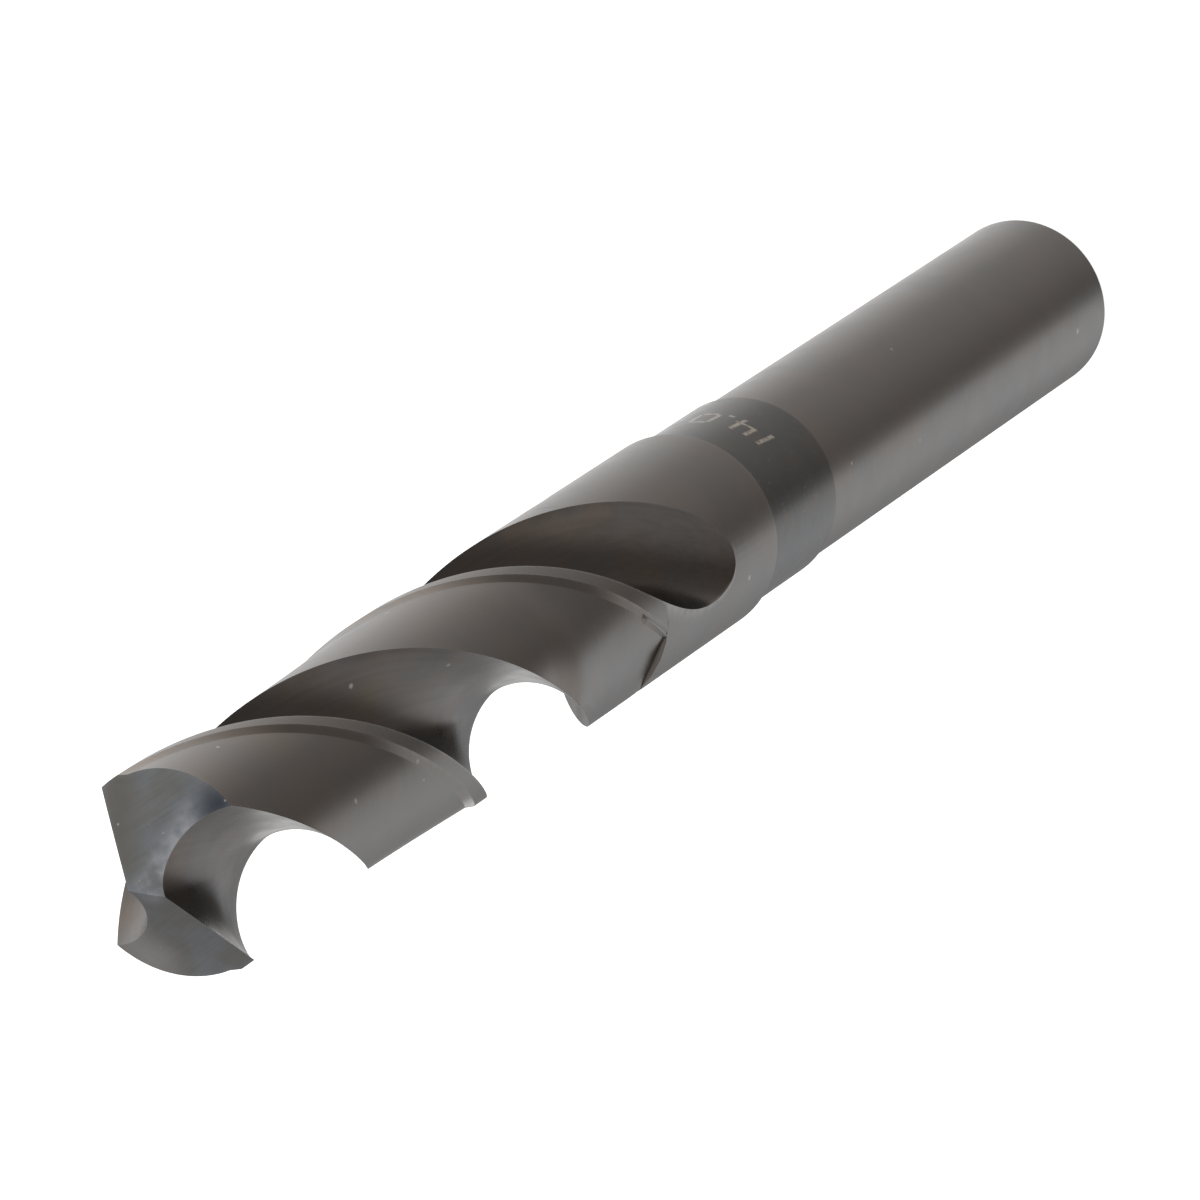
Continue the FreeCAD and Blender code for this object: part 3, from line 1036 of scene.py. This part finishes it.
# 1 on the strokes of the number
def numberMask(t, v):
    place = placeInMm(t, -2200, 900)
    xyz = node(t, "ShaderNodeSeparateXYZ", -1900, 900)
    t.links.new(place, xyz.inputs[0])
    turn = mathNode(t, "ARCTAN2", xyz.outputs["Y"], xyz.outputs["X"], -1700, 1000)
    right = mathNode(t, "SUBTRACT", turn, radians(v["bearing"]), -1550, 1000)
    right = mathNode(t, "MULTIPLY", right, drillSizes["neckRadius"] / v["scale"], -1400, 1000)
    up = mathNode(t, "SUBTRACT", xyz.outputs["Z"], v["height"], -1700, 800)
    up = mathNode(t, "DIVIDE", up, v["scale"], -1550, 800)
    lean = mathNode(t, "MULTIPLY", up, v["slant"], -1400, 800)
    right = mathNode(t, "SUBTRACT", right, lean, -1250, 1000)
    uv = node(t, "ShaderNodeCombineXYZ", -1100, 900)
    t.links.new(right, uv.inputs[0])
    t.links.new(up, uv.inputs[1])
    closest = None
    for i, (x, y, halfWidth, halfHeight) in enumerate(v["strokes"]):
        row = 900 - i * 60
        away = node(t, "ShaderNodeVectorMath", -900, row, operation="SUBTRACT")
        away.inputs[1].default_value = (x - v["half"], y, 0)
        t.links.new(uv.outputs[0], away.inputs[0])
        size = node(t, "ShaderNodeVectorMath", -750, row, operation="ABSOLUTE")
        t.links.new(away.outputs[0], size.inputs[0])
        past = node(t, "ShaderNodeVectorMath", -600, row, operation="SUBTRACT")
        past.inputs[1].default_value = (halfWidth, halfHeight, 0)
        t.links.new(size.outputs[0], past.inputs[0])
        parts = node(t, "ShaderNodeSeparateXYZ", -450, row)
        t.links.new(past.outputs[0], parts.inputs[0])
        gap = mathNode(t, "MAXIMUM", parts.outputs[0], parts.outputs[1], -300, row)
        closest = gap if closest is None else mathNode(t, "MINIMUM", closest, gap, -150, row)
    ink = ranged(t, closest, v["edge"], (0.0, 1.0), 0, 700)
    grain = noise(t, place, v["crumbleScale"], 3.0, -200, 500)
    crumble = ranged(t, grain, v["crumbleSpread"], (v["leastInk"], 1.0), 0, 500)
    ink = mathNode(t, "MULTIPLY", ink, crumble, 150, 600)
    return mathNode(t, "MULTIPLY", ink, v["strength"], 300, 600, clamp=True)


# 1 on the line between two places, fading to 0 at the reach
def nearLine(t, place, start, end, reach, x, y):
    start, end = Vector(start), Vector(end)
    away = node(t, "ShaderNodeVectorMath", x, y, operation="SUBTRACT")
    away.inputs[1].default_value = start
    t.links.new(place, away.inputs[0])
    flat = node(t, "ShaderNodeVectorMath", x + 150, y, operation="MULTIPLY")
    flat.inputs[1].default_value = (1, 1, 0)
    t.links.new(away.outputs[0], flat.inputs[0])
    run = end - start
    dot = node(t, "ShaderNodeVectorMath", x + 300, y - 150, operation="DOT_PRODUCT")
    dot.inputs[1].default_value = run / max(run.length_squared, 1e-6)
    t.links.new(flat.outputs[0], dot.inputs[0])
    share = mathNode(t, "ADD", dot.outputs["Value"], 0.0, x + 450, y - 150, clamp=True)
    foot = node(t, "ShaderNodeVectorMath", x + 600, y - 150, operation="SCALE")
    foot.inputs[0].default_value = run
    t.links.new(share, foot.inputs["Scale"])
    gap = node(t, "ShaderNodeVectorMath", x + 750, y, operation="DISTANCE")
    t.links.new(flat.outputs[0], gap.inputs[0])
    t.links.new(foot.outputs[0], gap.inputs[1])
    return ranged(t, gap.outputs["Value"], (reach, 0.0), (0.0, 1.0), x + 900, y, "SMOOTHSTEP")


# grinding lines, pale streak, and patches of painted shade and painted highlight on a flank
def flankShade(t, colour, v):
    place = placeInMm(t, -2400, 900)
    stretch = node(t, "ShaderNodeVectorMath", -2100, 1100, operation="MULTIPLY")
    stretch.inputs[1].default_value = (v["grindLines"], v["lineBreaks"], v["lineBreaks"])
    t.links.new(place, stretch.inputs[0])
    lines = noise(t, stretch.outputs[0], 1.0, 4.0, -1900, 1100)
    around = 1 - v["lineShade"], 1 + v["lineShade"]
    shade = ranged(t, lines, effects["lineSpread"], around, -1700, 1100)
    colour = mixColour(t, 1.0, colour, shade, -200, 700, "MULTIPLY")
    # a pale streak painted along a line on the flank, broken up by a cloud
    cloud = noise(t, place, v["cloudScale"], 6.0, -1900, 800)
    cloud = ranged(t, cloud, v["cloudSpread"], (v["leastPaleStreak"], 1.0), -1700, 800)
    paleStreak = nearLine(t, place, v["paleStreakFrom"], v["paleStreakTo"], v["paleStreakWidth"], -1500, 600)
    paleStreak = mathNode(t, "MULTIPLY", paleStreak, cloud, -400, 500)
    colour = mixColour(t, paleStreak, colour, v["paleStreakColour"], 0, 700)
    # patches of painted shade and painted highlight
    for i, (start, end, reach, tint) in enumerate(v["patches"]):
        near = nearLine(t, place, start, end, reach, -1500, 300 - i * 300)
        colour = mixColour(t, near, colour, tint, 200 + i * 200, 700)
    return colour, lines


def oxideMaterial(name, v, groups):
    mat = bpy.data.materials.new(name)
    mat.use_nodes = True
    t = mat.node_tree
    p = t.nodes["Principled BSDF"]
    p.location = (1500, 0)
    t.nodes["Material Output"].location = (1800, 0)
    p.inputs["Metallic"].default_value = 1
    tone = placeGroup(t, groups["tone"], 0, 300, Color=(*v["colour"], 1), Brown=(*v["brown"], 1),
                      Blue=(*v["blue"], 1), Patches_Per_Mm=v["patches"], Amount=v["amount"],
                      Roughness=v["roughness"], Roughness_Change=v["change"])
    colour = tone.outputs["Color"]
    if name == "flankOxide":
        colour, height = flankShade(t, colour, flankMarks)
    else:
        if name == "fluteOxide":
            marks = placeGroup(t, groups["streaks"], 0, 0, Lead=DrillShape(drillSizes).lead,
                               Streaks_Per_Mm=v["streaks"], Contrast=v["streakShade"])
        else:
            marks = placeGroup(t, groups["lines"], 0, 0, Lines_Per_Mm=v["lines"],
                               Contrast=v["lineShade"])
        colour = mixColour(t, 1.0, colour, marks.outputs["Shade"], 300, 300, "MULTIPLY")
        height = marks.outputs["Height"]
    if name == "neckOxide":
        colour = mixColour(t, numberMask(t, sizeMark), colour, sizeMark["colour"], 500, 600)
    # edges take the pale colour: partly real wear, partly painted highlight
    wearAndHighlight = placeGroup(t, groups["wearAndHighlight"], 500, -200, Amount=v["wearAndHighlight"])
    colour = mixColour(t, wearAndHighlight.outputs["Mask"], colour, v["bareAndHighlight"], 750, 300)
    specks = placeGroup(t, groups["specks"], 500, -400, Cells_Per_Mm=v["speckCells"],
                        Share=v["speckShare"], Size=v["speckSize"])
    colour = mixColour(t, specks.outputs["Mask"], colour, v["bareAndHighlight"], 1000, 300)
    t.links.new(colour, p.inputs["Base Color"])
    t.links.new(tone.outputs["Roughness"], p.inputs["Roughness"])
    bump = node(t, "ShaderNodeBump", 1250, -300)
    bump.inputs["Strength"].default_value = v["bump"]
    bump.inputs["Distance"].default_value = effects["bumpDepth"]
    t.links.new(height, bump.inputs["Height"])
    t.links.new(bump.outputs[0], p.inputs["Normal"])
    return mat


makeCamera(cameraView)
makeWorld(surroundings)
makeFloor(floorLook)
makeLight("overhead", overhead)
print("stage ready")

drill = makeDrill(drillSizes)
groups = {"lines": makeGroundLines(), "streaks": makeHelixStreaks(), "tone": makeOxideTone(),
          "wearAndHighlight": makeEdgeWearAndHighlight(), "specks": makeSpecks()}
for name, values in finishes.items():
    drill.data.materials.append(oxideMaterial(name, values, groups))
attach(drill, "root")
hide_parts("twist_drill")
print("steel ready")

bpy.context.scene.view_settings.view_transform = "Standard"
